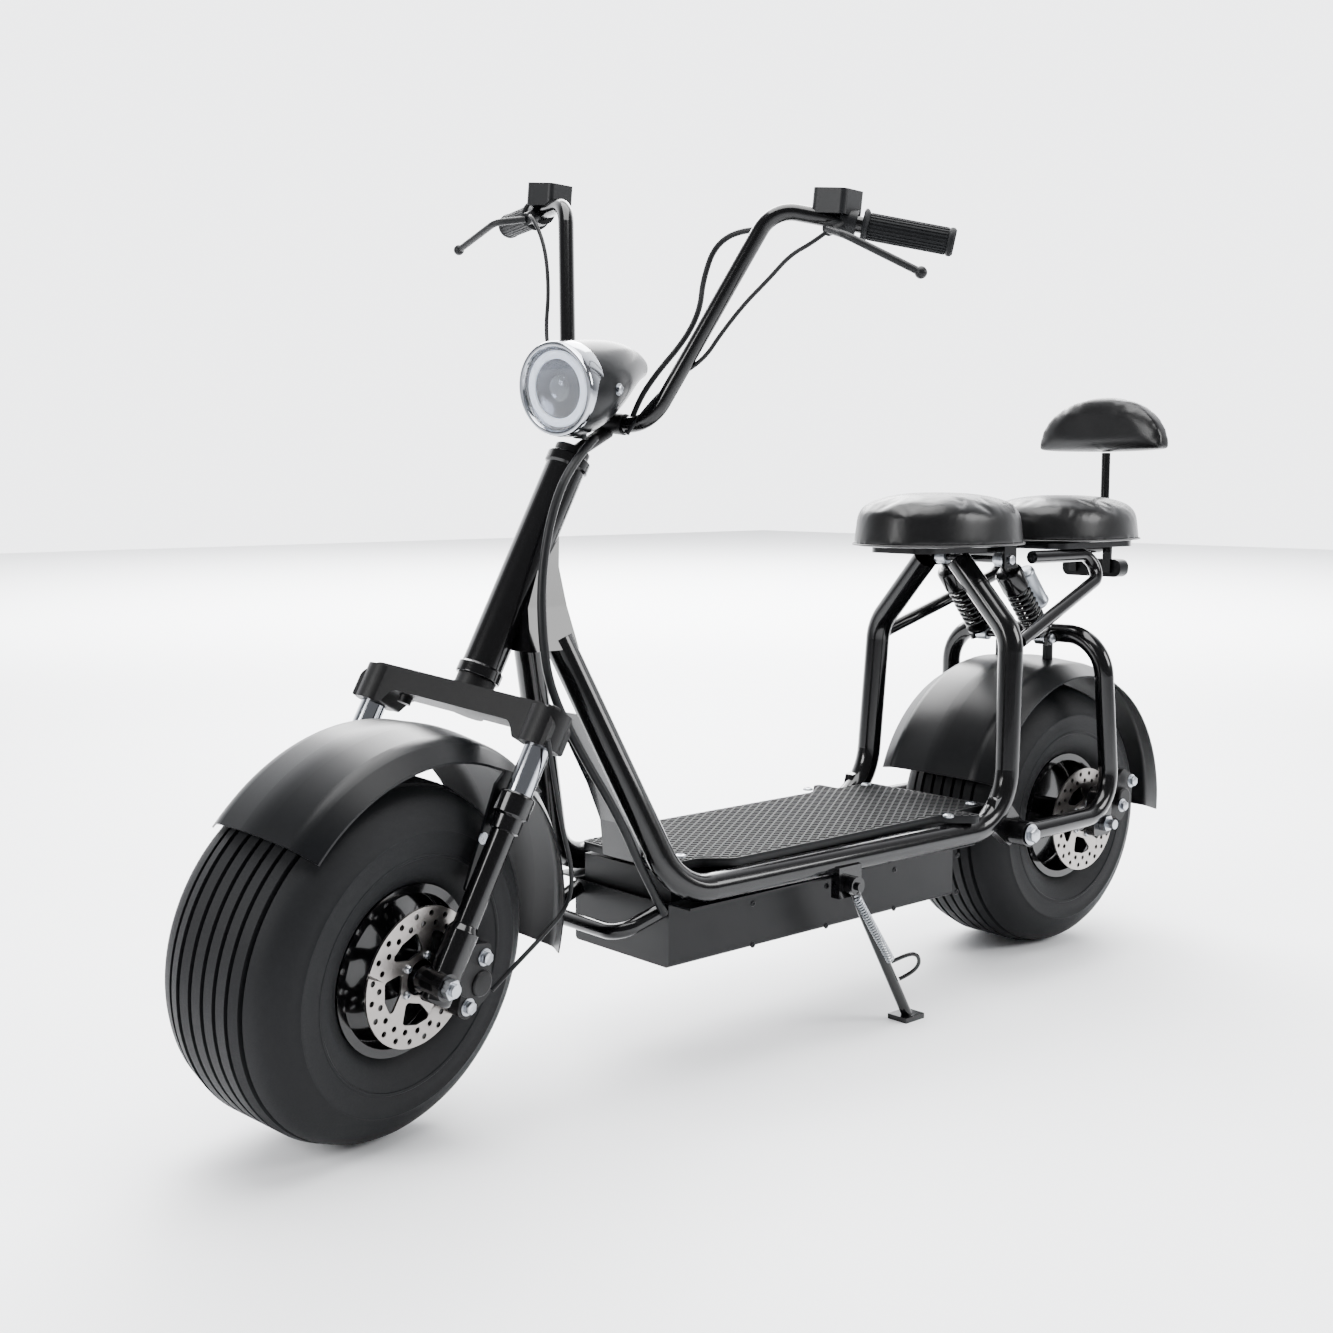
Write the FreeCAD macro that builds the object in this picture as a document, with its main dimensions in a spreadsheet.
import FreeCAD, Part
import math
import os
import re
import Sketcher
from FreeCAD import Placement, Rotation, Vector

# Electric scooter. Millimetres and degrees. X points ahead, Y to the rider's left, Z up.
# The origin lies on the ground, midway between the axles, in the centre plane.
# Pieces that steer are laid out straight ahead and then turned to the parked angle.

SIZES = [
    # layout
    ("wheelbase", 1367, "distance between the axles"),
    ("axle_z", 228, "height of both axles"),
    ("rake", 28.6, "lean of the steering axis"),
    ("axis_lead", 22, "axle ahead of the axis at axle height"),
    ("parked_turn", 13.5, "steering turned left when parked"),
    ("front_lift", 3.95, "lift that sets the turned front tyre on the ground"),
    ("origin_shift", 23, "origin behind the middle of the wheelbase"),
    ("fit_gap", 0.3, "gap between seated pieces"),
    # wheels
    ("tyre_radius", 228, "tyre radius on the tread"),
    ("tyre_half", 109, "half width of the tyre"),
    ("tread_half", 76, "half width of the tread"),
    ("tread_flat", 46, "half width of the level middle of the tread"),
    ("tread_drop", 9, "drop of the tread edge"),
    ("bead_radius", 102, "radius at the bead"),
    ("bead_half", 88, "half width at the bead"),
    ("rim_lip", 6, "height of the rim lip beside the bead"),
    ("rim_wall", 5, "thickness of the rim barrel"),
    ("hub_radius", 40, "radius of the front hub"),
    ("hub_boss", 28, "radius of the hub ends that carry the discs"),
    ("hub_half", 96, "half length of both hubs"),
    ("motor_radius", 88, "radius of the hub motor"),
    ("motor_half", 52, "half width of the hub motor"),
    ("disc_radius", 88, "radius of the brake discs"),
    ("disc_thick", 3, "thickness of the brake discs"),
    ("disc_inner", 22, "bore of the brake discs"),
    ("disc_ring", 60, "inner radius of the rubbed ring"),
    ("disc_hub", 34, "radius of the disc centre"),
    ("disc_windows", 5, "windows in each disc"),
    ("front_disc_y", 117.4, "centre plane of the front disc"),
    ("rear_disc_y", 131.7, "centre plane of the rear disc"),
    ("axle_radius", 8, "radius of both axles"),
    ("bearing_gap", 0.05, "radial play of the wheel bearings"),
    # frame tubes
    ("tube_od", 40, "outside diameter of the side tubes"),
    ("tube_y", 150, "centre of a side tube beside the deck"),
    ("tube_z", 255, "centre height of a side tube beside the deck"),
    ("tube_top_x", 380, "top end of a side tube, ahead"),
    ("tube_top_y", 34, "top end of a side tube, sideways"),
    ("tube_top_z", 600, "top end of a side tube, height"),
    ("tube_front_x", 256, "front corner of a side tube"),
    ("tube_front_y", 133, "front corner of a side tube, sideways"),
    ("tube_rear_x", -440, "rear corner of a side tube"),
    ("elbow_x", -458, "elbow under the seat, ahead"),
    ("elbow_y", 140, "elbow under the seat, sideways"),
    ("elbow_z", 560, "elbow under the seat, height"),
    ("seat_post_y", 36, "tube end under the seat, sideways"),
    ("seat_post_z", 676, "tube end under the seat, height"),
    ("front_bend", 80, "bend radius ahead of the deck"),
    ("rear_bend", 95, "bend radius behind the deck"),
    ("elbow_bend", 70, "bend radius of the seat elbow"),
    # head
    ("head_od", 54, "outside diameter of the head tube"),
    ("head_bore", 40, "bore of the head tube"),
    ("head_cup_od", 60, "outside diameter of the bearing cups"),
    ("head_cup", 14, "height of the bearing cups"),
    ("head_low", 366, "lower end of the head tube along the axis"),
    ("head_high", 690, "upper end of the head tube along the axis"),
    ("stem_od", 30, "diameter of the steering stem"),
    # battery box and deck
    ("box_front_x", 245, "front face of the battery box"),
    ("box_rear_x", -368, "rear face of the battery box"),
    ("box_half", 102, "half width of the battery box"),
    ("box_low_z", 142, "bottom of the battery box"),
    ("box_wall", 3, "sheet thickness of the battery box"),
    ("deck_low", 275.4, "underside of the deck board, just over the side tubes"),
    ("tube_low", 234.7, "top of the battery box flange, just under the side tubes"),
    ("deck_thick", 8, "thickness of the deck board"),
    ("mat_thick", 4, "thickness of the deck mat"),
    ("deck_front_x", 238, "front edge of the deck"),
    ("deck_front_half", 98, "half width of the deck at the front"),
    ("deck_half", 132, "half width of the deck"),
    ("deck_flare_x", -288, "where the deck starts to flare"),
    ("deck_flare_half", 172, "half width of the deck at the seat tubes"),
    ("deck_rear_x", -424, "rear edge of the deck"),
    ("deck_tail_half", 128, "half width of the deck between the seat tubes"),
    # fork
    ("leg_y", 144, "fork leg beside the centre plane"),
    ("leg_x", 9, "fork leg ahead of the steering axis"),
    ("stanchion_od", 33, "diameter of the fork stanchions"),
    ("leg_od", 31, "diameter of the lower fork legs"),
    ("foot_od", 40, "diameter of the thick feet of the legs"),
    ("seal_od", 45, "diameter of the seal heads"),
    ("leg_low", -34, "lower end of the legs along the axis"),
    ("foot_high", 58, "top of the thick feet along the axis"),
    ("leg_high", 236, "top of the seal heads along the axis"),
    ("seal_height", 28, "height of the seal heads"),
    ("lug_half", 20, "half width of the axle lugs"),
    ("bridge_low", 318, "underside of the fork bridge"),
    ("bridge_high", 350, "top of the fork bridge"),
    ("bridge_depth", 42, "depth of the fork bridge"),
    ("bridge_half", 168, "half width of the fork bridge"),
    # fenders
    ("fender_thick", 3, "sheet thickness of both fenders"),
    ("front_fender_back", 45, "front fender's centre behind the axle"),
    ("front_fender_crown", 284, "crown radius of the front fender"),
    ("front_fender_edge", 254, "edge radius of the front fender"),
    ("front_fender_half", 92, "half width of the front fender"),
    ("rear_fender_crown", 274, "crown radius of the rear fender"),
    ("rear_fender_edge", 246, "edge radius of the rear fender"),
    ("rear_fender_half", 122, "half width of the rear fender"),
    # handlebar
    ("bar_od", 22, "outside diameter of the handlebar"),
    ("grip_od", 34, "outside diameter of the grips"),
    ("grip_length", 122, "length of the grips"),
    ("clamp_x", 255, "handlebar clamp, ahead"),
    ("clamp_z", 882, "handlebar clamp, height"),
    ("bar_low_y", 70, "lower bend of the handlebar, sideways"),
    ("bar_high_x", 166, "upper bend of the handlebar, ahead"),
    ("bar_high_y", 178, "upper bend of the handlebar, sideways"),
    ("bar_high_z", 1180, "upper bend of the handlebar, height"),
    ("bar_end_x", 52, "end of the handlebar, ahead"),
    ("bar_end_y", 386, "end of the handlebar, sideways"),
    ("bar_end_z", 1154, "end of the handlebar, height"),
    # headlamp
    ("lamp_radius", 61, "radius of the headlamp bezel"),
    ("lamp_x", 371, "front of the headlamp, ahead"),
    ("lamp_z", 924, "centre of the headlamp, height"),
    ("lamp_length", 190, "length of the headlamp"),
    ("lamp_tilt", 7, "nose down tilt of the headlamp"),
    # seats
    ("seat_low", 700, "underside of both seats"),
    ("front_seat_x", -440, "centre of the front seat, ahead"),
    ("front_seat_top", 784, "top of the front seat"),
    ("front_seat_long", 155, "half length of the front seat"),
    ("front_seat_wide", 130, "half width of the front seat"),
    ("rear_seat_x", -785, "centre of the rear seat, ahead"),
    ("rear_seat_top", 778, "top of the rear seat"),
    ("rear_seat_long", 155, "half length of the rear seat"),
    ("rear_seat_wide", 122, "half width of the rear seat"),
    ("rest_x", -905, "centre of the backrest, ahead"),
    ("rest_low", 856, "underside of the backrest"),
    ("rest_tall", 106, "height of the backrest"),
    ("rest_half", 134, "half width of the backrest"),
    ("rest_thick", 46, "thickness of the backrest"),
    ("post_x", -918, "backrest post, ahead"),
    ("post_od", 16, "diameter of the backrest post"),
    ("stay_od", 22, "diameter of the rear stays"),
    # swing arm and shocks
    ("arm_od", 32, "diameter of the swing arm tube"),
    ("arm_pivot_x", -447, "swing arm pivot, ahead"),
    ("arm_pivot_z", 245, "swing arm pivot, height"),
    ("arm_y", 178, "swing arm beside the wheel"),
    ("arm_top_y", 160, "swing arm loop, sideways"),
    ("arm_top_z", 545, "swing arm loop, height"),
    ("shock_y", 62, "shock absorbers, sideways"),
    ("shock_low_x", -650, "lower shock eye, ahead"),
    ("shock_low_z", 538, "lower shock eye, height"),
    ("shock_high_x", -532, "upper shock eye, ahead"),
    ("shock_high_z", 676, "upper shock eye, height"),
    ("coil_od", 46, "outside diameter of the shock coils"),
    # stand
    ("stand_x", -55, "side stand pivot, ahead"),
    ("stand_y", 172, "side stand pivot, sideways"),
    ("stand_z", 222, "side stand pivot, height"),
    ("stand_foot_x", -165, "side stand foot, ahead"),
    ("stand_foot_y", 182, "side stand foot, sideways"),
    ("stand_od", 16, "diameter of the side stand leg"),
]

doc = FreeCAD.newDocument("ElectricScooter")
sheet = doc.addObject("Spreadsheet::Sheet", "Sizes")
for row, (alias, number, note) in enumerate(SIZES, 1):
    sheet.set("A%d" % row, alias)
    sheet.set("B%d" % row, str(number))
    sheet.set("C%d" % row, note)
    sheet.setAlias("B%d" % row, alias)
doc.recompute()
NODES = {}


def size(expression):
    """Value of a number or of an expression in the sheet's names."""
    if isinstance(expression, (int, float)):
        return float(expression)
    value = sheet.evalExpression(expression)
    return float(getattr(value, "Value", value))


def point(x, y, z):
    """Point whose coordinates are numbers or expressions."""
    return Vector(size(x), size(y), size(z))


def node(name, thing):
    """Register a finished sub-part under the name of its file."""
    thing.Label = name
    NODES[name] = thing
    return thing


IDENTITY = Placement()
WORLD = Placement(Vector(size("origin_shift"), 0, 0), Rotation())
RAKE_TURN = Rotation(Vector(0, 1, 0), -size("rake"))
AXIS_FOOT = point("wheelbase / 2 - axis_lead", 0, "axle_z")
AXIS_DIRECTION = RAKE_TURN.multVec(Vector(0, 0, 1))
LIFT = Placement(Vector(0, 0, size("front_lift")), Rotation())
STEERED = WORLD.multiply(LIFT).multiply(Placement(Vector(), Rotation(AXIS_DIRECTION, size("parked_turn")), AXIS_FOOT))
FORK = STEERED.multiply(Placement(AXIS_FOOT, RAKE_TURN))
AXLE_AHEAD = size("axis_lead") * math.cos(math.radians(size("rake")))
AXLE_DROP = size("axis_lead") * math.sin(math.radians(size("rake")))
FRONT_AXLE = STEERED.multiply(Placement(point("wheelbase / 2", 0, "axle_z"), Rotation()))
REAR_AXLE = WORLD.multiply(Placement(point("-wheelbase / 2", 0, "axle_z"), Rotation()))
HEAD = WORLD.multiply(LIFT).multiply(Placement(AXIS_FOOT, RAKE_TURN))


def outline(body, name, role, corners):
    """Closed sketch bound to the sheet. A corner is two coordinates and, if rounded, a radius."""
    sketch = body.newObject("Sketcher::SketchObject", name)
    plane = [part for part in body.Origin.OriginFeatures if part.Role == role][0]
    sketch.AttachmentSupport = (plane, [""])
    sketch.MapMode = "FlatFace"
    spots = [Vector(size(corner[0]), size(corner[1]), 0) for corner in corners]
    for first, second in zip(spots, spots[1:] + spots[:1]):
        sketch.addGeometry(Part.LineSegment(first, second), False)
    count = len(spots)
    for side in range(count):
        sketch.addConstraint(Sketcher.Constraint("Coincident", side, 2, (side + 1) % count, 1))
    for side, corner in enumerate(corners):
        for kind, value in zip(("DistanceX", "DistanceY"), corner):
            bind_constraint(sketch, Sketcher.Constraint(kind, -1, 1, side, 1, size(value)), value)
    for side, corner in enumerate(corners):
        if len(corner) == 3:
            round_corner(sketch, (side - 1) % count, corner[2])
    return sketch


def bind_constraint(sketch, constraint, value):
    """Add a constraint and bind it to the sheet if its value is an expression."""
    index = sketch.addConstraint(constraint)
    if isinstance(value, str):
        sketch.setExpression("Constraints[%d]" % index, named(value))


def round_corner(sketch, side, radius):
    """Round the corner at the end of one side."""
    sketch.fillet(side, 2, size(radius), True, True)
    arcs = [index for index, curve in enumerate(sketch.Geometry) if isinstance(curve, Part.ArcOfCircle)]
    bind_constraint(sketch, Sketcher.Constraint("Radius", arcs[-1], size(radius)), radius)


def named(expression):
    """The same expression with every sheet name led by the sheet."""
    return re.sub(r"[a-z]\w*", lambda word: "Sizes." + word.group(), expression)


def lathe(name, corners, place, angle=360):
    """Body turned about its own Y axis from corners given as radius and Y."""
    body = doc.addObject("PartDesign::Body", name)
    sketch = outline(body, name + "_profile", "XY_Plane", corners)
    turn = body.newObject("PartDesign::Revolution", name + "_turn")
    turn.Profile = sketch
    turn.ReferenceAxis = (sketch, ["V_Axis"])
    turn.Angle = angle
    body.Placement = place
    doc.recompute()
    return body


def plate(name, role, corners, thickness, place, mid=False):
    """Body padded from an outline on one of its origin planes."""
    body = doc.addObject("PartDesign::Body", name)
    sketch = outline(body, name + "_outline", role, corners)
    pad = body.newObject("PartDesign::Pad", name + "_pad")
    pad.Profile = sketch
    if isinstance(thickness, str):
        pad.setExpression("Length", named(thickness))
    else:
        pad.Length = thickness
    pad.Midplane = mid
    body.Placement = place
    doc.recompute()
    return body


def bent_wire(points, radii):
    """Straight runs joined by tangent arcs of the given radii."""
    edges = []
    start = points[0]
    for before, corner, after, radius in zip(points, points[1:], points[2:], radii):
        inward = (before - corner).normalize()
        outward = (after - corner).normalize()
        half = inward.getAngle(outward) / 2
        reach = radius / math.tan(half)
        first = corner + inward * reach
        last = corner + outward * reach
        bisector = (inward + outward).normalize()
        middle = corner + bisector * (radius / math.sin(half) - radius)
        edges.append(Part.LineSegment(start, first).toShape())
        edges.append(Part.Arc(first, middle, last).toShape())
        start = last
    edges.append(Part.LineSegment(start, points[-1]).toShape())
    return Part.Wire(edges)


def tube(name, points, radii, radius, place=WORLD):
    """Round bar swept along a bent line."""
    spots = [place.multVec(spot) for spot in points]
    path = doc.addObject("Part::Feature", name + "_path")
    path.Shape = bent_wire(spots, radii)
    ring = doc.addObject("Part::Circle", name + "_ring")
    bind_size(ring, "Radius", radius)
    ring.Placement = Placement(spots[0], Rotation(Vector(0, 0, 1), spots[1] - spots[0]))
    sweep = doc.addObject("Part::Sweep", name + "_sweep")
    sweep.Sections = [ring]
    sweep.Spine = (path, [])
    sweep.Solid = True
    sweep.Frenet = False
    doc.recompute()
    return sweep


def bind_size(thing, prop, value):
    """Bind a length of a primitive to the sheet, or set it."""
    if isinstance(value, str):
        thing.setExpression(prop, named(value))
    else:
        setattr(thing, prop, value)


def rod(name, start, end, radius, place=WORLD):
    """Cylinder between two points."""
    thing = doc.addObject("Part::Cylinder", name)
    bind_size(thing, "Radius", radius)
    thing.Height = (end - start).Length
    thing.Placement = place.multiply(Placement(start, Rotation(Vector(0, 0, 1), end - start)))
    return thing


def block(name, low, high, place=WORLD):
    """Box between two corners."""
    thing = doc.addObject("Part::Box", name)
    thing.Length = high.x - low.x
    thing.Width = high.y - low.y
    thing.Height = high.z - low.z
    thing.Placement = place.multiply(Placement(low, Rotation()))
    return thing


def ball(name, centre, radius, place=WORLD):
    """Sphere round a point."""
    thing = doc.addObject("Part::Sphere", name)
    bind_size(thing, "Radius", radius)
    thing.Placement = place.multiply(Placement(centre, Rotation()))
    return thing


def sorted_box(first, second):
    """Low and high corners of the box between two points."""
    low = Vector(min(first.x, second.x), min(first.y, second.y), min(first.z, second.z))
    high = Vector(max(first.x, second.x), max(first.y, second.y), max(first.z, second.z))
    return low, high


def fuse(name, parts):
    """Union of several solids."""
    thing = doc.addObject("Part::MultiFuse", name)
    thing.Shapes = parts
    thing.Refine = True
    doc.recompute()
    return thing


def cut(name, base, tool):
    """One solid less another."""
    thing = doc.addObject("Part::Cut", name)
    thing.Base = base
    thing.Tool = tool
    doc.recompute()
    return thing


def mirrored(spots):
    """The same points on the other side of the centre plane."""
    return [Vector(spot.x, -spot.y, spot.z) for spot in spots]


def mirror_profile(half):
    """Profile of radius and Y continued on the other side of the centre plane."""
    other = [(corner[0], "-(%s)" % corner[1], *corner[2:]) for corner in half[::-1]]
    return half + other


# Wheels
TYRE_SIDE = [
    # radius, half width
    ("tyre_radius", "tread_flat"), ("tyre_radius - tread_drop", "tread_half"),
    ("tyre_radius - 30", "tyre_half - 10"), ("bead_radius + 74", "tyre_half"), ("bead_radius + 36", "tyre_half - 2"),
    ("bead_radius + rim_lip + 2", "bead_half"), ("bead_radius + fit_gap", "bead_half"),
]
TYRE = mirror_profile(TYRE_SIDE)


def disc_rim(name, hub, half, disc_y, place):
    """Rim with lips, barrel, dished web and hub, bored for the axle."""
    lip = "bead_radius + rim_lip"
    inner = "bead_radius - rim_wall"
    bore = "axle_radius + bearing_gap"
    seat = disc_y + " - disc_thick / 2 - fit_gap"
    right = [(bore, "-hub_half"), ("hub_boss", "-hub_half", 3), ("hub_boss", "-" + half), (hub, "-" + half, 4),
             (inner, "-%s + 12" % half, 2)]
    barrel = [
        (inner, "-bead_half - 4"), (lip, "-bead_half - 4"), (lip, "-bead_half - fit_gap"),
        ("bead_radius", "-bead_half - fit_gap"), ("bead_radius", "bead_half + fit_gap"),
        (lip, "bead_half + fit_gap"), (lip, "bead_half + 4"), (inner, "bead_half + 4"),
    ]
    left = [(inner, half + " - 12", 2), (hub, half, 4), ("hub_boss", half), ("hub_boss", seat, 3), (bore, seat)]
    return node(name, lathe(name + "_body", right + barrel + left, place))


def brake_disc(name, centre, place):
    """Disc with a ring of rounded windows, made from one window and a pattern."""
    corners = [("disc_inner", "%s - disc_thick / 2" % centre), ("disc_radius", "%s - disc_thick / 2" % centre),
               ("disc_radius", "%s + disc_thick / 2" % centre), ("disc_inner", "%s + disc_thick / 2" % centre)]
    body = lathe(name + "_body", corners, place)
    blank = body.Tip
    window = []
    for radius, turn in (("disc_hub", -22), ("disc_ring", -40), ("disc_ring", -16), ("disc_ring", 8), ("disc_hub", 22)):
        share = math.radians(turn)
        window.append(("%s * %.5f" % (radius, math.cos(share)), "%s * %.5f" % (radius, math.sin(share)), 5))
    sketch = outline(body, name + "_window", "XZ_Plane", window)
    pocket = body.newObject("PartDesign::Pocket", name + "_pocket")
    pocket.Profile = sketch
    pocket.Type = 1
    pocket.Midplane = True
    doc.recompute()
    pattern = body.newObject("PartDesign::PolarPattern", name + "_windows")
    pattern.Originals = [pocket]
    pattern.Axis = (sketch, ["N_Axis"])
    pattern.Angle = 360
    pattern.setExpression("Occurrences", named("disc_windows"))
    body.Tip = pattern
    doc.recompute()
    return node(name, body)


node("front_tyre", lathe("front_tyre_body", TYRE, FRONT_AXLE))
node("rear_tyre", lathe("rear_tyre_body", TYRE, REAR_AXLE))
disc_rim("front_rim", "hub_radius", "tread_half", "front_disc_y", FRONT_AXLE)
disc_rim("rear_rim", "motor_radius", "motor_half", "rear_disc_y", REAR_AXLE)
brake_disc("front_disc", "front_disc_y", FRONT_AXLE)
brake_disc("rear_disc", "rear_disc_y", REAR_AXLE)


# Frame tubes
def side_tube(side):
    """Side tube from the head, under the deck and up to the seat."""
    spots = [point("tube_top_x", "tube_top_y", "tube_top_z"), point("tube_front_x", "tube_front_y", "tube_z"),
             point("tube_rear_x", "tube_y", "tube_z"), point("elbow_x", "elbow_y", "elbow_z"),
             point("elbow_x + 5", "seat_post_y", "seat_post_z")]
    if side == "right":
        spots = mirrored(spots)
    radii = [size("front_bend"), size("rear_bend"), size("elbow_bend")]
    return tube(side + "_side_tube", spots, radii, "tube_od / 2")


def pivot_plate(side):
    """Thick plate that joins a seat tube to the swing arm pivot."""
    corners = [("arm_pivot_x + 58", "tube_z + 4"), ("arm_pivot_x + 46", "tube_z + 46"), ("arm_pivot_x + 24", "tube_z + 52"),
               ("arm_pivot_x - 22", "arm_pivot_z + 16"), ("arm_pivot_x - 22", "arm_pivot_z - 16"),
               ("arm_pivot_x + 10", "arm_pivot_z - 22")]
    width = size("arm_y - arm_od / 2 - 1 - tube_y + 6")
    centre = size("tube_y - 6") + width / 2
    shift = Vector(0, centre if side == "left" else -centre, 0)
    return plate(side + "_pivot_plate", "XZ_Plane", corners, width, WORLD.multiply(Placement(shift, Rotation())), mid=True)


for side in ("left", "right"):
    node(side + "_frame_tube", fuse(side + "_tube_union", [side_tube(side), pivot_plate(side)]))

UPRIGHT = Rotation(Vector(1, 0, 0), 90)
head_shell = lathe("head_shell", [
    ("head_bore / 2", "head_low"), ("head_cup_od / 2", "head_low", 2), ("head_cup_od / 2", "head_low + head_cup"),
    ("head_od / 2", "head_low + head_cup + 3"), ("head_od / 2", "head_high - head_cup - 3"),
    ("head_cup_od / 2", "head_high - head_cup"), ("head_cup_od / 2", "head_high", 2), ("head_bore / 2", "head_high"),
], HEAD.multiply(Placement(Vector(), UPRIGHT)))
head_hole = rod("head_hole", point(0, 0, "head_low - 5"), point(0, 0, "head_high + 5"), "head_bore / 2", HEAD)


def ring_path(name, corners, place):
    """Closed wire through corners, for a loft."""
    spots = [place.multVec(spot) for spot in corners]
    wire = doc.addObject("Part::Feature", name)
    wire.Shape = Part.makePolygon(spots + spots[:1])
    return wire


def loft(name, sections, ruled=True):
    """Solid through a row of closed sections."""
    thing = doc.addObject("Part::Loft", name)
    thing.Sections = sections
    thing.Solid = True
    thing.Ruled = ruled
    doc.recompute()
    return thing


def level_frame(front, rear, half, height):
    """Corners of a level rectangle."""
    return [Vector(front, half, height), Vector(rear, half, height), Vector(rear, -half, height), Vector(front, -half, height)]


NECK = [
    # rise, rear, front and half width beyond the top ends of the side tubes
    (-12, -20, 60, 20), (44, -14, 50, 2), (95, -9, 25, -8), (135, -16, 5, -16),
]
rings = []
for rise, rear, front, wide in NECK:
    frame = level_frame(size("tube_top_x") + front, size("tube_top_x") + rear, size("tube_top_y") + wide,
                        size("tube_top_z") + rise)
    rings.append(ring_path("neck_ring_%d" % len(rings), frame, WORLD))
neck = loft("neck_loft", rings)
copes = [head_hole]
for sign in (1, -1):
    top = point("tube_top_x", "tube_top_y", "tube_top_z")
    corner = point("tube_front_x", "tube_front_y", "tube_z")
    run = (top - corner).normalize()
    start, end = corner + run * 120, top + run * 0.3
    copes.append(rod("cope", Vector(start.x, sign * start.y, start.z), Vector(end.x, sign * end.y, end.z), "tube_od / 2 + fit_gap"))
node("head_tube", cut("head_bored", fuse("head_union", [head_shell, neck]), fuse("neck_copes", copes)))

# Battery box and deck
TRAY = [
    ("-tube_y + 4", "tube_low - box_wall"), ("-box_half", "tube_low - box_wall", 2), ("-box_half", "box_low_z", 6),
    ("box_half", "box_low_z", 6), ("box_half", "tube_low - box_wall", 2), ("tube_y - 4", "tube_low - box_wall"),
    ("tube_y - 4", "tube_low"), ("box_half - box_wall", "tube_low", 5), ("box_half - box_wall", "box_low_z + box_wall", 3),
    ("-box_half + box_wall", "box_low_z + box_wall", 3), ("-box_half + box_wall", "tube_low", 5), ("-tube_y + 4", "tube_low"),
]
half = size("box_half")
wall = size("box_wall")
folded = plate("box_fold", "YZ_Plane", TRAY, "box_front_x - box_rear_x",
               WORLD.multiply(Placement(point("box_rear_x", 0, 0), Rotation())))
ends = [plate("box_end", "YZ_Plane", [("-box_half", "box_low_z", 6), ("box_half", "box_low_z", 6),
                                      ("box_half", "tube_low - box_wall"), ("-box_half", "tube_low - box_wall")],
              "box_wall", WORLD.multiply(Placement(point(x, 0, 0), Rotation())))
        for x in ("box_rear_x", "box_front_x - box_wall")]
node("battery_box", fuse("box_union", [folded] + ends))
pack = block("pack_block", Vector(size("box_rear_x") + 12, -half + 8, size("box_low_z") + wall + 0.3),
             Vector(size("box_front_x") - 12, half - 8, size("deck_low - 6")))
node("battery_pack", pack)
DECK = [
    ("deck_front_x", "-deck_front_half", 12), ("deck_front_x", "deck_front_half", 12),
    ("deck_front_x - 50", "deck_front_half", 20), ("deck_front_x - 90", "deck_half", 20), ("deck_flare_x", "deck_half", 30),
    ("deck_flare_x - 45", "deck_flare_half", 10), ("deck_flare_x - 58", "deck_flare_half", 4),
    ("deck_flare_x - 58", "deck_tail_half", 3), ("deck_rear_x", "deck_tail_half", 10), ("deck_rear_x", "-deck_tail_half", 10),
    ("deck_flare_x - 58", "-deck_tail_half", 3), ("deck_flare_x - 58", "-deck_flare_half", 4),
    ("deck_flare_x - 45", "-deck_flare_half", 10), ("deck_flare_x", "-deck_half", 30),
    ("deck_front_x - 90", "-deck_half", 20), ("deck_front_x - 50", "-deck_front_half", 20),
]
for name, low, thick in (("deck", "deck_low", "deck_thick"), ("deck_mat", "deck_low + deck_thick", "mat_thick")):
    node(name, plate(name + "_board", "XY_Plane", DECK, thick, WORLD.multiply(Placement(point(0, 0, low), Rotation()))))


# Fork
# Fork
def hex_nut(name, y, height, reach, place):
    """Hexagon nut on a shaft along Y."""
    nut = doc.addObject("Part::Prism", name)
    nut.Polygon = 6
    nut.Circumradius = reach
    nut.Height = height
    nut.Placement = place.multiply(Placement(Vector(0, y, 0), Rotation(Vector(0, 0, 1), Vector(0, 1, 0))))
    return nut


def fork_leg(side, sign):
    """Leg turned in one piece with its chromed stanchion, with a lug for the axle."""
    profile = [
        (0, "leg_low"), ("foot_od / 2", "leg_low", 6), ("foot_od / 2", "foot_high", 3), ("leg_od / 2", "foot_high + 8", 4),
        ("leg_od / 2", "leg_high - seal_height - 22"), ("leg_od / 2 + 3.5", "leg_high - seal_height - 20"),
        ("leg_od / 2 + 3.5", "leg_high - seal_height - 3"), ("seal_od / 2", "leg_high - seal_height", 2),
        ("seal_od / 2", "leg_high", 4), ("stanchion_od / 2", "leg_high"), ("stanchion_od / 2", "bridge_high - 2"),
        (0, "bridge_high - 2"),
    ]
    y = sign * size("leg_y")
    turned = lathe(side + "_leg_turned", profile, FORK.multiply(Placement(Vector(size("leg_x"), y, 0), UPRIGHT)))
    reach = Vector(0, size("lug_half"), 0)
    centre = Vector(AXLE_AHEAD, y, -AXLE_DROP)
    lug = rod(side + "_axle_lug", centre - reach, centre + reach, 17, FORK)
    hole = rod(side + "_axle_hole", centre - reach * 2, centre + reach * 2, "axle_radius + fit_gap", FORK)
    return node(side + "_fork_leg", cut(side + "_leg_bored", fuse(side + "_leg_union", [turned, lug]), hole))


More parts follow.
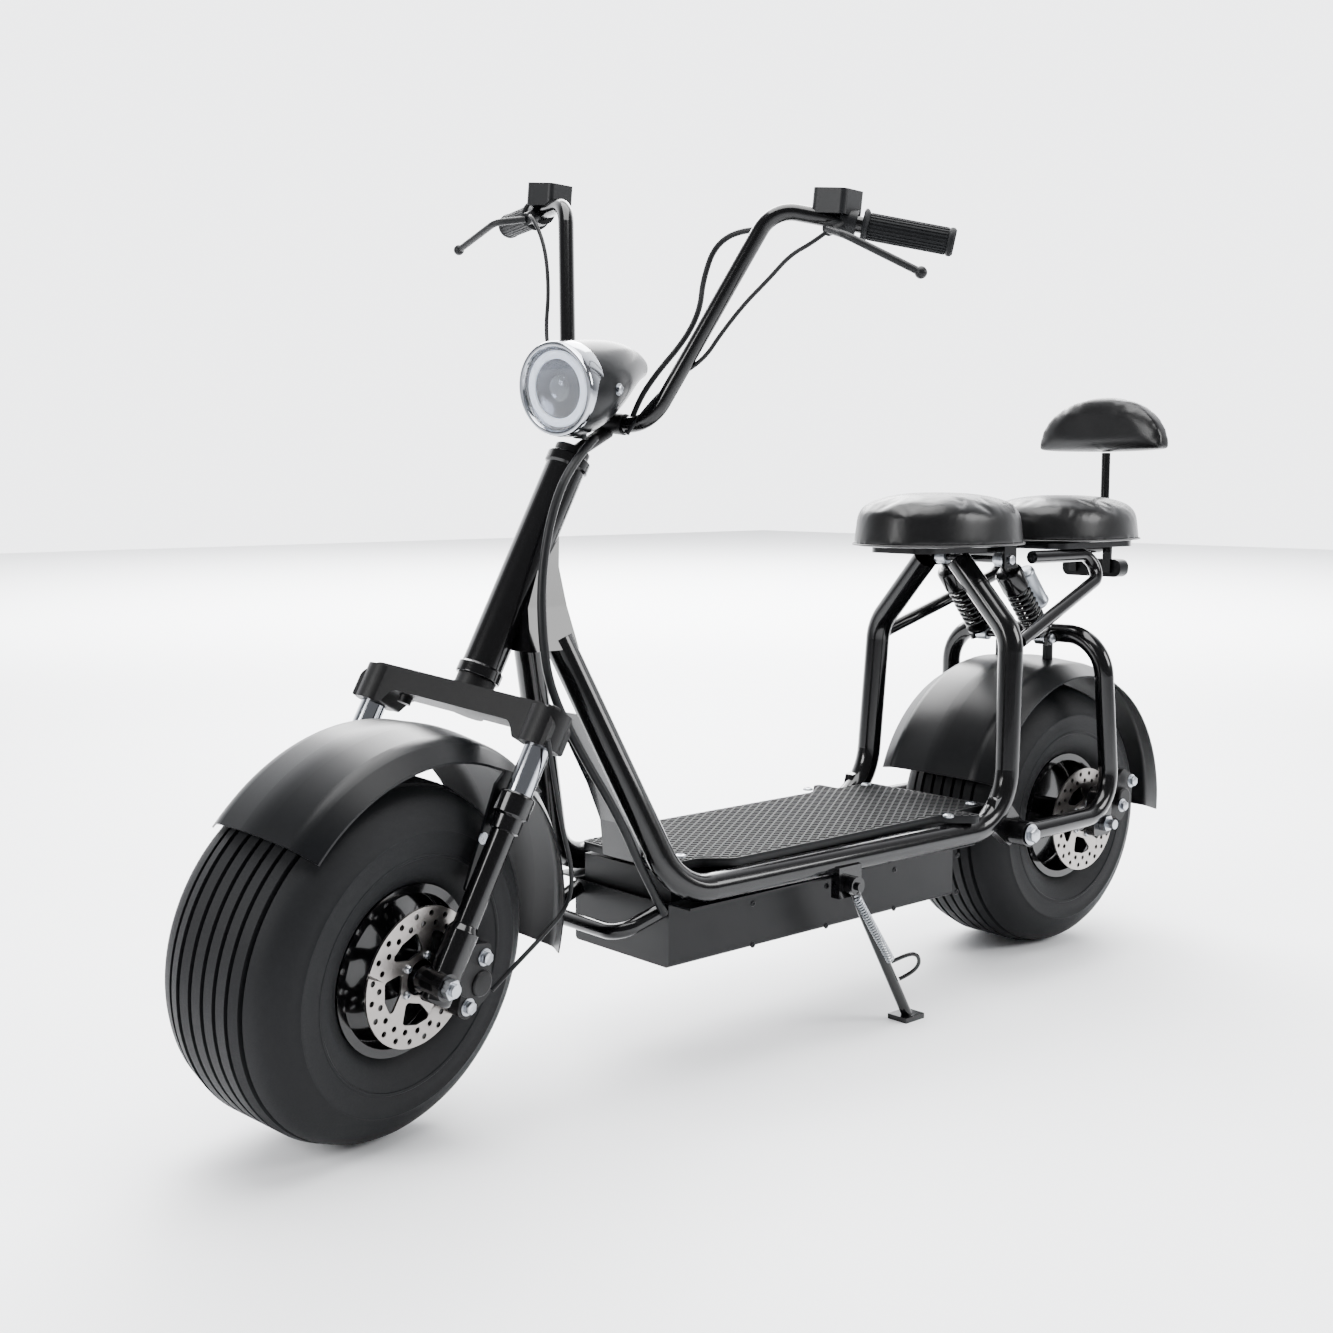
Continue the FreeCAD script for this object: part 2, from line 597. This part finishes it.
for side, sign in (("left", 1), ("right", -1)):
    fork_leg(side, sign)
nut_y = size("leg_y + lug_half + fit_gap")
node("front_axle", fuse("front_axle_union", [
    rod("front_axle_bar", Vector(0, -nut_y - 14, 0), Vector(0, nut_y + 14, 0), "axle_radius", FRONT_AXLE),
    rod("front_spacer", point(0, "-leg_y + lug_half + fit_gap", 0), point(0, "-hub_half - 6", 0), 12, FRONT_AXLE),
    hex_nut("front_nut_left", nut_y, 9, 13, FRONT_AXLE), hex_nut("front_nut_right", -nut_y - 9, 9, 13, FRONT_AXLE)]))
BRIDGE = [
    ("-bridge_half", "bridge_low - 20", 4), ("-bridge_half", "bridge_high - 20", 14), ("-bridge_half + 20", "bridge_high", 24),
    ("bridge_half - 20", "bridge_high", 24), ("bridge_half", "bridge_high - 20", 14), ("bridge_half", "bridge_low - 20", 4),
    ("leg_y - 28", "bridge_low - 20", 6), ("leg_y - 42", "bridge_low", 14), ("-leg_y + 42", "bridge_low", 14),
    ("-leg_y + 28", "bridge_low - 20", 6),
]
bridge_parts = [
    plate("bridge_bar", "YZ_Plane", BRIDGE, "bridge_depth", FORK.multiply(Placement(point("leg_x", 0, 0), Rotation())), mid=True),
    rod("bridge_hub", point(0, 0, "bridge_low"), point(0, 0, "bridge_high + 2"), 28, FORK),
    rod("stem_bar", point(0, 0, "bridge_low + 4"), point(0, 0, "head_high + 10"), "stem_od / 2", FORK),
    rod("stem_race", point(0, 0, "bridge_high - 2"), point(0, 0, "head_low - fit_gap"), 26, FORK),
    rod("stem_nut", point(0, 0, "head_high + fit_gap"), point(0, 0, "head_high + 12"), 24, FORK),
    rod("stop_lug", point("leg_x", "-leg_y + 50", "bridge_low - 10"), point("leg_x", "-leg_y + 50", "bridge_low + 4"), 9, FORK),
]
holes = []
for sign in (1, -1):
    y = sign * size("leg_y")
    bridge_parts.append(rod("bridge_boss", point("leg_x", y, "bridge_low - 20"), point("leg_x", y, "bridge_high - 4"), 27, FORK))
    holes.append(rod("bridge_hole", point("leg_x", y, "bridge_low - 60"), point("leg_x", y, "bridge_high - 2 + fit_gap"),
                     "stanchion_od / 2 + fit_gap", FORK))
bridge = cut("bridge_cut", fuse("bridge_union", bridge_parts), fuse("bridge_holes", holes))

# Handlebar clamp and bar
clamp = STEERED.multVec(point("clamp_x", 0, "clamp_z - 12"))
top = FORK.multVec(point(0, 0, "head_high + 4"))
riser = rod("riser", top, clamp, 10, IDENTITY)
clamp_ring = rod("clamp_ring", point("clamp_x", -30, "clamp_z"), point("clamp_x", 30, "clamp_z"), 14.5, STEERED)
clamp_hole = rod("clamp_hole", point("clamp_x", -60, "clamp_z"), point("clamp_x", 60, "clamp_z"), "bar_od / 2 + fit_gap", STEERED)
node("steering_stem", cut("stem_bored", fuse("stem_union", [bridge, riser, clamp_ring]), clamp_hole))
half_bar = [point("clamp_x", "bar_low_y", "clamp_z"), point("bar_high_x", "bar_high_y", "bar_high_z"),
            point("bar_end_x", "bar_end_y", "bar_end_z")]
node("handlebar", tube("bar", half_bar[::-1] + mirrored(half_bar), [45, 55, 55, 45], "bar_od / 2", STEERED))
run = (half_bar[2] - half_bar[1]).normalize()
for side, sign in (("left", 1), ("right", -1)):
    flip = lambda spot: Vector(spot.x, sign * spot.y, spot.z)
    end = half_bar[2] + run * 3
    start = end - run * size("grip_length")
    along = flip(end) - flip(start)
    grip = lathe(side + "_grip_sleeve", [
        ("bar_od / 2 + fit_gap", 0), ("grip_od / 2 + 5", 0, 2), ("grip_od / 2 + 5", 6, 2), ("grip_od / 2", 9),
        ("grip_od / 2", "grip_length - 8"), ("grip_od / 2 + 2", "grip_length - 6", 2), ("grip_od / 2 + 2", "grip_length", 3),
        (0, "grip_length"), (0, "grip_length - 3 + fit_gap"), ("bar_od / 2 + fit_gap", "grip_length - 3 + fit_gap"),
    ], STEERED.multiply(Placement(flip(start), Rotation(Vector(0, 1, 0), along))))
    node(side + "_grip", grip)
    seat = start - run * 30
    perch_end = seat + run * 22
    lever_root = seat + Vector(34, 4, -14)
    lever_tip = Vector(150, 398, 1108)
    bend = lever_root + Vector(22, 40, -8)
    low, high = sorted_box(flip(seat + Vector(-26, -34, 8)), flip(seat + Vector(24, 18, 40)))
    housing = plate(side + "_switch_housing", "XY_Plane",
                    [(low.x, low.y, 8), (high.x, low.y, 10), (high.x, high.y, 8), (low.x, high.y, 6)], high.z - low.z,
                    STEERED.multiply(Placement(Vector(0, 0, low.z), Rotation())))
    unit = fuse(side + "_control_union", [
        housing,
        rod(side + "_perch", flip(seat), flip(perch_end), 18, STEERED),
        rod(side + "_lever_arm", flip(seat + run * 8), flip(lever_root), 9, STEERED),
        tube(side + "_lever", [flip(lever_root), flip(bend), flip(lever_tip)], [30], 5, STEERED),
        ball(side + "_lever_ball", flip(lever_tip), 8, STEERED)])
    hole = rod(side + "_perch_hole", flip(seat - run * 60), flip(seat + run * 29.5), "bar_od / 2 + fit_gap", STEERED)
    node(side + "_control", cut(side + "_control_cut", unit, hole))

# Headlamp
AXIAL = STEERED.multiply(Placement(point("lamp_x", 0, "lamp_z"), Rotation(Vector(0, 1, 0), Vector(-1, 0, 0.1))))
lens_profile = [(0, 1), ("lamp_radius - 6.3", 1), ("lamp_radius - 6.3", 9), (0, 9)]
node("lamp_lens", lathe("lens_body", lens_profile, AXIAL))
hoops = []
for index, (back, rise, share) in enumerate(((0, 0, 1), (52, 5, 1), (92, 17, 0.84), (132, 30, 0.58), (176, 34, 0.25))):
    hoop = doc.addObject("Part::Circle", "lamp_hoop_%d" % index)
    bind_size(hoop, "Radius", "lamp_radius * %g" % share)
    hoop.Placement = STEERED.multiply(Placement(point("lamp_x - %d" % back, 0, "lamp_z + %d" % rise), Rotation(Vector(0, 0, 1), Vector(-1, 0, 0.1))))
    hoops.append(hoop)
hollow = rod("lamp_hollow", Vector(0, -1, 0), Vector(0, 9.3, 0), "lamp_radius - 6", AXIAL)
shell = loft("lamp_loft", hoops, ruled=False)
foot = rod("lamp_foot", point("lamp_x - 58", 0, "lamp_z - lamp_radius + 8"), point("lamp_x - 58", 0, "lamp_z - lamp_radius - 3.2"), 9, STEERED)
node("lamp_shell", cut("lamp_cut", fuse("lamp_union", [shell, foot]), hollow))
# Fenders
def fender(name, kind, start, sweep, place):
    """Rolled sheet round the upper part of a tyre, from one angle down to another."""
    crown, edge, half = kind + "_crown", kind + "_edge", kind + "_half"
    skin = [(edge, half), (crown + " - 7", half + " * 0.7", 30), (crown, 0, 150), (crown + " - 7", "-%s * 0.7" % half, 30),
            (edge, "-" + half)]
    inside = [("%s - fender_thick" % corner[0], *corner[1:]) for corner in skin[::-1]]
    return lathe(name, skin + inside, place.multiply(Placement(Vector(), Rotation(Vector(0, 1, 0), -start))), sweep)


FENDER_CENTRE = FRONT_AXLE.multiply(Placement(point("-front_fender_back", 0, -3), Rotation()))
front_parts = [fender("front_fender_shell", "front_fender", 191, 150, FENDER_CENTRE)]
for sign in (1, -1):
    inner, outer = sorted((sign * (size("front_fender_half") - 2), sign * 119))
    edge = size("front_fender_edge")
    strap = [(edge - 3, inner), (edge, inner), (edge, outer), (edge - 3, outer)]
    front_parts.append(lathe("fender_strap", strap, FENDER_CENTRE.multiply(Placement(Vector(), Rotation(Vector(0, 1, 0), -128))), 19))
    tab = [(-26, 261.5), (18, 259), (26, 238, 8), (4, 104, 6), (-12, 104, 5), (-26, 200, 20)]
    front_parts.append(plate("fender_tab", "XZ_Plane", tab, 4, FORK.multiply(Placement(Vector(0, sign * 117, 0), Rotation())), mid=True))
    collar = size("leg_high - seal_height - 11")
    front_parts.append(rod("fender_stud", Vector(size("leg_x"), sign * 117, collar),
                           Vector(size("leg_x"), sign * size("leg_y - leg_od / 2 - 3.5 - fit_gap"), collar), 7, FORK))
node("front_fender", fuse("front_fender_union", front_parts))
rear_shell = fender("rear_fender_shell", "rear_fender", 184, 164, REAR_AXLE)
pads = [rod("fender_pad", Vector(0, y, size("rear_fender_crown") - 6), Vector(0, y, size("arm_top_z - axle_z - arm_od / 2 - fit_gap")), 9,
            REAR_AXLE) for y in (-50, 50)]
node("rear_fender", fuse("rear_fender_union", [rear_shell] + pads))


# Calipers
def caliper(name, disc_y, corners, cap, arm, place):
    """Cast caliper astride the edge of a disc, with a round cap and an arm."""
    y = size(disc_y)
    x, z = cap
    casting = plate(name + "_casting", "XZ_Plane", corners, 38, place.multiply(Placement(Vector(0, y + 5, 0), Rotation())), mid=True)
    lid = lathe(name + "_lid", [(0, 0), (17, 0), (17, 10, 3), (0, 10)], place.multiply(Placement(Vector(x, y + 23, z), Rotation())))
    slot = rod(name + "_slot", Vector(0, y - 6.7, 0), Vector(0, y + 6.7, 0), "disc_radius + 6", place)
    return node(name, cut(name + "_cut", fuse(name + "_union", [casting, lid, arm]), slot))


front_arm = plate("front_caliper_arm", "XZ_Plane", [
    (-58, 28, 8), ("leg_x - foot_od / 2 - fit_gap", 28), ("leg_x - foot_od / 2 - fit_gap", -12), (-50, -14, 8),
], 10, FORK.multiply(Placement(Vector(0, 142, 0), Rotation())), mid=True)
caliper("front_caliper", "front_disc_y", [(-98, 26, 8), (-66, 32, 10), (-54, -4, 8), (-44, -54, 9), (-62, -66, 9), (-104, -40, 14)],
        (-78, -20), front_arm, FRONT_AXLE)
rear_arm = plate("rear_caliper_arm", "XZ_Plane", [
    (-92, 56, 8), (-10, 60, 8), (12, 40, 8), (12, 18, 5), (-40, 14, 8), (-88, 10, 8),
], 9.7, REAR_AXLE.multiply(Placement(Vector(0, 150.85, 0), Rotation())), mid=True)
caliper("rear_caliper", "rear_disc_y", [(-112, 66, 10), (-84, 82, 12), (-46, 52, 10), (-48, 6, 10), (-78, -12, 10), (-108, 20, 14)],
        (-76, 32), rear_arm, REAR_AXLE)

# Swing arm and rear axle
side_run = [point("arm_pivot_x", "arm_y", "arm_pivot_z"), point("-wheelbase / 2 - 16", "arm_y - 4", "arm_pivot_z"),
            point("-wheelbase / 2", "arm_top_y", "arm_top_z")]
arm = tube("arm", side_run + mirrored(side_run)[::-1], [70, 70, 70, 70], "arm_od / 2")
pieces = [arm]
for sign in (1, -1):
    pivot = Vector(side_run[0].x, sign * side_run[0].y, side_run[0].z)
    pieces.append(rod("arm_eye", pivot - Vector(0, 16, 0), pivot + Vector(0, 16, 0), 20))
    pieces.append(plate("axle_plate", "XZ_Plane", [(-24, -22, 10), (26, -22, 10), (26, 54, 12), (-24, 54, 12)], 16,
                        REAR_AXLE.multiply(Placement(Vector(0, sign * 164, 0), Rotation())), mid=True))
    low, high = sorted((sign * 76, sign * 81))
    pieces.append(plate("shock_plate", "XZ_Plane", [("shock_low_x - 36", "shock_low_z - 4"), ("shock_low_x - 34", "shock_low_z + 14"),
                        ("shock_low_x + 12", "shock_low_z + 12"), ("shock_low_x + 12", "shock_low_z - 12")], 5,
                        WORLD.multiply(Placement(Vector(0, sign * 78.5, 0), Rotation())), mid=True))
pieces.append(rod("shock_low_bolt", point("shock_low_x", -84, "shock_low_z"), point("shock_low_x", 84, "shock_low_z"), 6))
holes = fuse("arm_holes", [
    rod("axle_hole", point("-wheelbase / 2", -200, "axle_z"), point("-wheelbase / 2", 200, "axle_z"), "axle_radius + fit_gap"),
    rod("pivot_hole", point("arm_pivot_x", -230, "arm_pivot_z"), point("arm_pivot_x", 230, "arm_pivot_z"), 8.3)])
node("swing_arm", cut("arm_cut", fuse("arm_union", pieces), holes))
node("rear_axle", fuse("rear_axle_union", [
    rod("rear_axle_bar", Vector(0, -196, 0), Vector(0, 196, 0), "axle_radius", REAR_AXLE),
    hex_nut("rear_nut_left", 172.3, 11, 14, REAR_AXLE), hex_nut("rear_nut_right", -183.3, 11, 14, REAR_AXLE)]))
for side, sign in (("left", 1), ("right", -1)):
    y = sign * size("shock_y")
    low = Vector(size("shock_low_x"), y, size("shock_low_z"))
    high = Vector(size("shock_high_x"), y, size("shock_high_z"))
    reach = (high - low).Length
    along = (high - low).normalize()
    wide = Vector(0, 12, 0)
    parts = [rod(side + "_low_eye", low - wide, low + wide, 12), rod(side + "_high_eye", high - wide, high + wide, 12),
             lathe(side + "_damper", [
                 (0, 4), (9, 4), (9, 18), ("coil_od / 2 + 2", 18), ("coil_od / 2 + 2", 25), ("coil_od / 2 - 2", 25),
                 ("coil_od / 2 - 2", reach - 60), ("coil_od / 2 + 2", reach - 60), ("coil_od / 2 + 2", reach - 26),
                 (9, reach - 22), (9, reach - 4), (0, reach - 4)],
                 WORLD.multiply(Placement(low, Rotation(Vector(0, 1, 0), along))))]
    if side == "left":
        top = high - along * 20 + Vector(-38, 6, -6)
        parts += [rod("reservoir", top, top - along * 76, 18), rod("reservoir_neck", high - along * 14, top - along * 10, 8)]
    bolts = fuse(side + "_eye_holes", [rod(side + "_low_hole", low - wide * 2, low + wide * 2, 6.3),
                                       rod(side + "_high_hole", high - wide * 2, high + wide * 2, 6.3)])
    node(side + "_shock", cut(side + "_shock_cut", fuse(side + "_shock_union", parts), bolts))


# Seats
def cushion(name, x, long, wide, top):
    """Cushion lofted through level ellipses."""
    rings = []
    for index, (share, rise) in enumerate(((0.9, 0), (1, 0.25), (0.99, 0.6), (0.88, 0.9), (0.55, 1))):
        ring = doc.addObject("Part::Ellipse", "%s_ring_%d" % (name, index))
        bind_size(ring, "MajorRadius", "%s * %g" % (long, share))
        bind_size(ring, "MinorRadius", "%s * %g" % (wide, share))
        ring.Placement = WORLD.multiply(Placement(point(x, 0, "seat_low + (%s - seat_low) * %g" % (top, rise)), Rotation()))
        rings.append(ring)
    loft = doc.addObject("Part::Loft", name + "_loft")
    loft.Sections = rings
    loft.Solid = True
    loft.Ruled = True
    doc.recompute()
    return loft


node("front_seat", cushion("front_cushion", "front_seat_x", "front_seat_long", "front_seat_wide", "front_seat_top"))
rear_cushion = cushion("rear_cushion", "rear_seat_x", "rear_seat_long", "rear_seat_wide", "rear_seat_top")
post_hole = rod("post_hole", point("post_x", 0, "seat_low - 20"), point("post_x", 0, "rear_seat_top + 20"), "post_od / 2 + 1")
node("rear_seat", cut("rear_cushion_cut", rear_cushion, post_hole))
REST = [
    ("-rest_half", 0, 14), ("rest_half", 0, 14), ("rest_half * 0.9", "rest_tall * 0.6", 60), ("rest_half * 0.5", "rest_tall", 50),
    ("-rest_half * 0.5", "rest_tall", 50), ("-rest_half * 0.9", "rest_tall * 0.6", 60),
]
node("backrest", plate("rest_board", "YZ_Plane", REST, "rest_thick",
                       WORLD.multiply(Placement(point("rest_x", 0, "rest_low"), Rotation())), mid=True))
pan_low = size("seat_low") - 10
node("seat_frame", fuse("seat_frame_union", [
    plate("seat_pan", "XY_Plane", [(-570, -62, 20), (-330, -62, 30), (-330, 62, 30), (-570, 62, 20)], 9.7,
          WORLD.multiply(Placement(Vector(0, 0, pan_low), Rotation()))),
    rod("shock_high_bolt", point("shock_high_x", -84, "shock_high_z"), point("shock_high_x", 84, "shock_high_z"), 6),
    block("hanger_left", Vector(-548, 75, 662), Vector(-516, 80, pan_low + 9.7)),
    block("hanger_right", Vector(-548, -80, 662), Vector(-516, -75, pan_low + 9.7)),
    block("hanger_bar", Vector(-548, -80, pan_low), Vector(-516, 80, pan_low + 9.7))]))
stays = []
for side, sign in (("left", 1), ("right", -1)):
    spots = [Vector(-481.3, sign * 140, 548), Vector(-862, sign * 92, pan_low - 11.3), Vector(-585, sign * 84, pan_low - 11.3)]
    node(side + "_stay", tube(side + "_stay_bar", spots, [26], "stay_od / 2"))
node("tail_bracket", fuse("tail_union", [
    plate("rear_pan", "XY_Plane", [(-896, -96, 50), (-640, -96, 30), (-640, 96, 30), (-896, 96, 50)], 9.7,
          WORLD.multiply(Placement(Vector(0, 0, pan_low), Rotation()))),
    block("tail_strap_left", Vector(-880, 28, 640), Vector(-874, 44, pan_low + 2)),
    block("tail_strap_right", Vector(-880, -44, 640), Vector(-874, -28, pan_low + 2))]))
node("tail_lamp", plate("tail_block", "YZ_Plane", [(-62, 632, 14), (62, 632, 14), (62, 664, 14), (-62, 664, 14)], 25.7,
                        WORLD.multiply(Placement(Vector(-906, 0, 0), Rotation()))))
post_spots = [point("post_x", 0, "rest_low - fit_gap"), Vector(size("post_x"), 0, pan_low - 8.3), Vector(-800, 0, pan_low - 8.3)]
node("backrest_post", tube("post", post_spots, [17], "post_od / 2"))

# Hoop and front panel
hoop_half = [Vector(249, 90, 222), Vector(318, 82, 200)]
node("front_hoop", tube("hoop", hoop_half + mirrored(hoop_half)[::-1], [30, 30], 11))
sheet_back = [("deck_front_x + 0.3", "deck_low + 12 - 10"), ("deck_front_x + 6", "deck_low + 12 + 42"), ("deck_front_x + 30", "deck_low + 12 + 98"),
              ("deck_front_x + 62", "deck_low + 12 + 156"), ("deck_front_x + 90", "deck_low + 12 + 206")]
sheet_front = [("%s + 3.4" % x, z) for x, z in sheet_back[::-1]]
node("front_panel", plate("panel_sheet", "XZ_Plane", sheet_back + sheet_front, 84, WORLD, mid=True))

# Side stand
pivot = point("stand_x", "stand_y", "stand_z")
foot = point("stand_foot_x", "stand_foot_y", 8)
cope = rod("stand_cope", point("tube_rear_x", "tube_y", "tube_z"), point("tube_front_x", "tube_front_y", "tube_z"), "tube_od / 2 + fit_gap")
node("stand_bracket", fuse("stand_bracket_union", [
    cut("stand_plate_cut", block("stand_plate", Vector(pivot.x - 24, 148, 204), Vector(pivot.x + 24, pivot.y - 8, 250)), cope),
    rod("stand_bolt", Vector(pivot.x, 160, pivot.z), Vector(pivot.x, pivot.y + 12, pivot.z), 6)]))
stand = fuse("stand_union", [
    rod("stand_eye", pivot - Vector(0, 7, 0), pivot + Vector(0, 7, 0), 14), rod("stand_leg", pivot - Vector(0, 0, 9), foot, "stand_od / 2"),
    block("stand_foot", Vector(foot.x - 24, foot.y - 22, 0), Vector(foot.x + 18, foot.y + 14, 8))])
node("side_stand", cut("stand_cut", stand, rod("stand_hole", pivot - Vector(0, 30, 0), pivot + Vector(0, 30, 0), 6.05)))

os.makedirs("parts", exist_ok=True)
for thing in doc.Objects:
    if "Invalid" in thing.State or "Error" in thing.State:
        print("faulty", thing.Name, thing.State)
for name, thing in NODES.items():
    box = thing.Shape.BoundBox
    print(name, thing.Shape.isNull(), [round(v) for v in (box.XMin, box.XMax, box.YMin, box.YMax, box.ZMin, box.ZMax)],
          len(thing.Shape.Solids), round(thing.Shape.Volume / 1000))
    thing.Shape.exportStep("parts/%s.step" % name)
